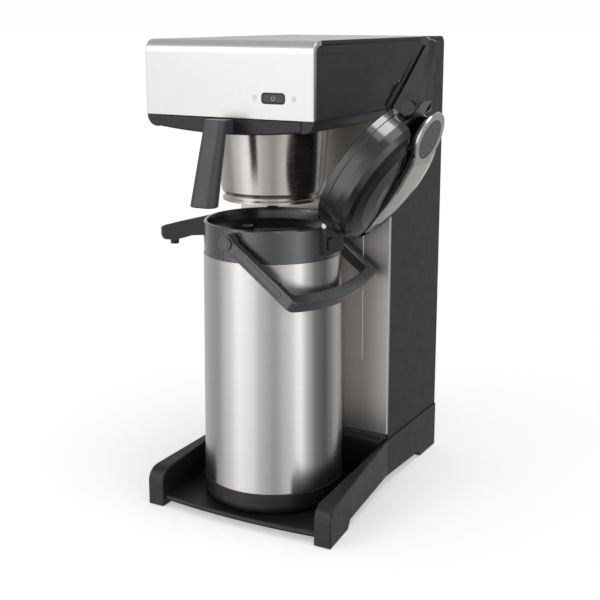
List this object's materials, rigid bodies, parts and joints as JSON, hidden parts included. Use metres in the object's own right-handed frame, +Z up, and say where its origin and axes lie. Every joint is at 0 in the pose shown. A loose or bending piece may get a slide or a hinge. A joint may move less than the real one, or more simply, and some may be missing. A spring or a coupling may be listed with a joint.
{
  "type": "commercial coffee brewer",
  "caption": "Commercial filter coffee brewer with a steel head, sliding filter pan and an open lever airpot standing on its tray.",
  "frame": {"origin": "on the table, under the middle of the whole object's box", "axes": "+Z up, +X to the right seen from the front, -Y towards the front"},
  "size_m": [0.3644, 0.4032, 0.5493],
  "materials": {
    "front_steel": "brushed vertically, very light",
    "column_steel": "brushed vertically",
    "airpot_steel": "fine brushed, satin",
    "pan_steel": "turned and brushed",
    "inner_steel": "plain mill finish",
    "bright_metal": "polished",
    "side_coat": "fine matt powder coat",
    "base_plastic": "fine grained",
    "handle_plastic": "fine grained",
    "collar_plastic": "satin",
    "lid_plastic": "high gloss",
    "trim_metal": "satin champagne",
    "badge_plastic": "satin dark grey",
    "clear_lens": "milky lens",
    "natural_plastic": "food grade, translucent white",
    "rubber": "soft",
    "hose_rubber": "silicone",
    "cast_alloy": "as cast",
    "board_green": "solder mask",
    "block_white": "moulded"
  },
  "bodies": {
    "machine": {"base_rail_right": "base_plastic", "base_rail_left": "base_plastic", "foot_pads": "rubber", "base_tray": "base_plastic", "column_plinth": "base_plastic", "side_panel_right": "side_coat", "side_panel_left": "side_coat", "side_catches": "side_coat", "front_cover": "front_steel", "button_bezel": "base_plastic", "indicator_lenses": "clear_lens", "head_floor": "base_plastic", "pan_guides": "inner_steel", "spray_head": "natural_plastic", "column_front_panel": "column_steel", "back_panel": "side_coat", "cover_screws": "bright_metal", "mains_inlet": "base_plastic", "chassis": "inner_steel", "water_reservoir": "natural_plastic", "lid_hinge_pins": "bright_metal", "top_frame": "base_plastic", "flow_heater": "cast_alloy", "supply_hose": "hose_rubber", "riser_tube": "hose_rubber", "thermostats": "inner_steel", "control_board": "board_green", "terminal_block": "block_white"},
    "power_key": {"power_button": "badge_plastic"},
    "reservoir_cover": {"reservoir_lid": "front_steel"},
    "filter_pan": {"pan_frame": "base_plastic", "pan_basket": "pan_steel", "drip_valve": "base_plastic", "pan_handle": "handle_plastic", "handle_screws": "bright_metal"},
    "airpot": {"airpot_base_ring": "base_plastic", "airpot_shell": "airpot_steel", "flask_liner": "inner_steel", "airpot_collar": "collar_plastic", "neck_gasket": "rubber", "pour_spout": "base_plastic", "pour_nozzle": "base_plastic", "siphon_tube": "base_plastic", "bail_pivots": "handle_plastic", "hinge_bracket": "base_plastic", "airpot_hinge_pin": "bright_metal"},
    "bail": {"bail_handle": "handle_plastic"},
    "airpot_lid": {"airpot_lid_base": "lid_plastic", "airpot_lid_dome": "lid_plastic", "airpot_lid_nose": "lid_plastic", "pour_tube": "base_plastic", "lid_gasket": "rubber", "pump_bellows": "rubber", "lever_pin": "bright_metal"},
    "pump_lever": {"pump_lever_arm": "base_plastic", "lever_trim": "trim_metal", "lever_badge": "badge_plastic"},
    "lid_release": {"lid_release_button": "base_plastic"}
  },
  "joints": [
    {"name": "airpot_slide", "type": "slide", "parent": "machine", "child": "airpot", "axis": [0, -1, 0], "range_m": [0, 0.26]},
    {"name": "filter_pan_slide", "type": "slide", "parent": "machine", "child": "filter_pan", "axis": [0, -1, 0], "range_m": [0, 0.18]},
    {"name": "reservoir_lid_hinge", "type": "hinge", "parent": "machine", "child": "reservoir_cover", "pos_m": [-0.0222, 0.1834, 0.538], "axis": [-1, 0, 0], "range_deg": [0, 95]},
    {"name": "power_button_press", "type": "slide", "parent": "machine", "child": "power_key", "axis": [0, 1, 0], "range_m": [0, 0.002], "stiffness_N_per_m": 600, "springref_m": -0.002},
    {"name": "airpot_lid_hinge", "type": "hinge", "parent": "airpot", "child": "airpot_lid", "pos_m": [0.05769, -0.05739, 0.345], "axis": [-0.0523, -0.9986, 0], "range_deg": [0, 12]},
    {"name": "bail_hinge", "type": "hinge", "parent": "airpot", "child": "bail", "pos_m": [-0.0222, -0.0532, 0.329], "axis": [-0.0523, -0.9986, 0], "range_deg": [0, 32]},
    {"name": "pump_lever_hinge", "type": "hinge", "parent": "airpot_lid", "child": "pump_lever", "pos_m": [0.0992, -0.05956, 0.34712], "axis": [-0.0523, -0.9986, 0], "range_deg": [0, 5], "stiffness_Nm_per_rad": 3, "springref_deg": -8.59},
    {"name": "lid_release_press", "type": "slide", "parent": "airpot", "child": "lid_release", "axis": [-0.9986, 0.0523, 0], "range_m": [0, 0.001], "stiffness_N_per_m": 600, "springref_m": -0.002}
  ]
}
